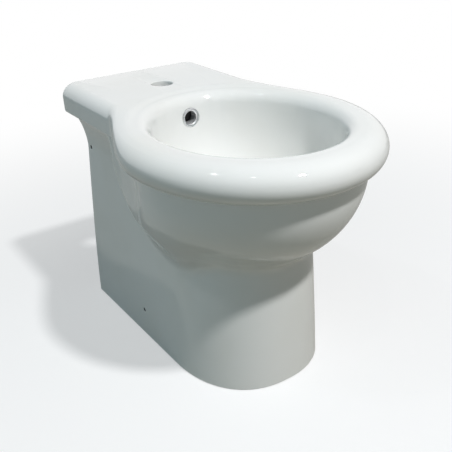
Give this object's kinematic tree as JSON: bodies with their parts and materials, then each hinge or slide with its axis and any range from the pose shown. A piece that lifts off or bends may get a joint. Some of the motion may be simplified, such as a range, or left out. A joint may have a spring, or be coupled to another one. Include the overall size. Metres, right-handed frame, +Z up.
{
  "type": "floor-standing bidet",
  "caption": "Back-to-wall bidet: china pedestal with an oval bowl and tap deck, chrome overflow ring, push-to-open waste, bottle trap and hidden fixings.",
  "frame": {"origin": "on the floor, under the middle of the bidet's overall box", "axes": "+X to the right for someone who faces the wall, +Y towards the wall, +Z up"},
  "size_m": [0.37, 0.56, 0.403],
  "materials": {
    "china": "gloss glaze",
    "chrome": "polished",
    "brass": "as machined",
    "rubber": "matt",
    "white_plastic": "matt",
    "grey_plastic": "moulded",
    "steel": "zinc plated"
  },
  "bodies": {
    "bidet": {"ceramic_body": "china", "overflow_bezel": "chrome", "overflow_seal": "rubber", "waste_body": "chrome", "waste_top_seal": "white_plastic", "waste_bottom_seal": "rubber", "waste_washer": "white_plastic", "waste_backnut": "brass", "plug_spring": "steel", "plug_guide": "white_plastic", "trap_inlet_tube": "chrome", "trap_inlet_nut": "chrome", "trap_inlet_washer": "rubber", "trap_body": "chrome", "trap_tube_nut": "chrome", "trap_tube_washer": "rubber", "trap_cup": "chrome", "trap_cup_seal": "rubber", "trap_outlet_pipe": "chrome", "trap_outlet_nut": "chrome", "trap_outlet_washer": "rubber", "floor_brackets": "grey_plastic", "floor_lock_screws": "steel", "wall_brackets": "steel", "wall_lock_screws": "steel"},
    "plug": {"plug_cap": "chrome", "plug_seal": "rubber", "plug_stem": "steel"}
  },
  "joints": [
    {"name": "plug_press", "type": "slide", "parent": "bidet", "child": "plug", "axis": [0, 0, 1], "range_m": [-0.008, 0], "stiffness_N_per_m": 300, "springref_m": 0.012, "deforming": ["plug_spring"]}
  ]
}
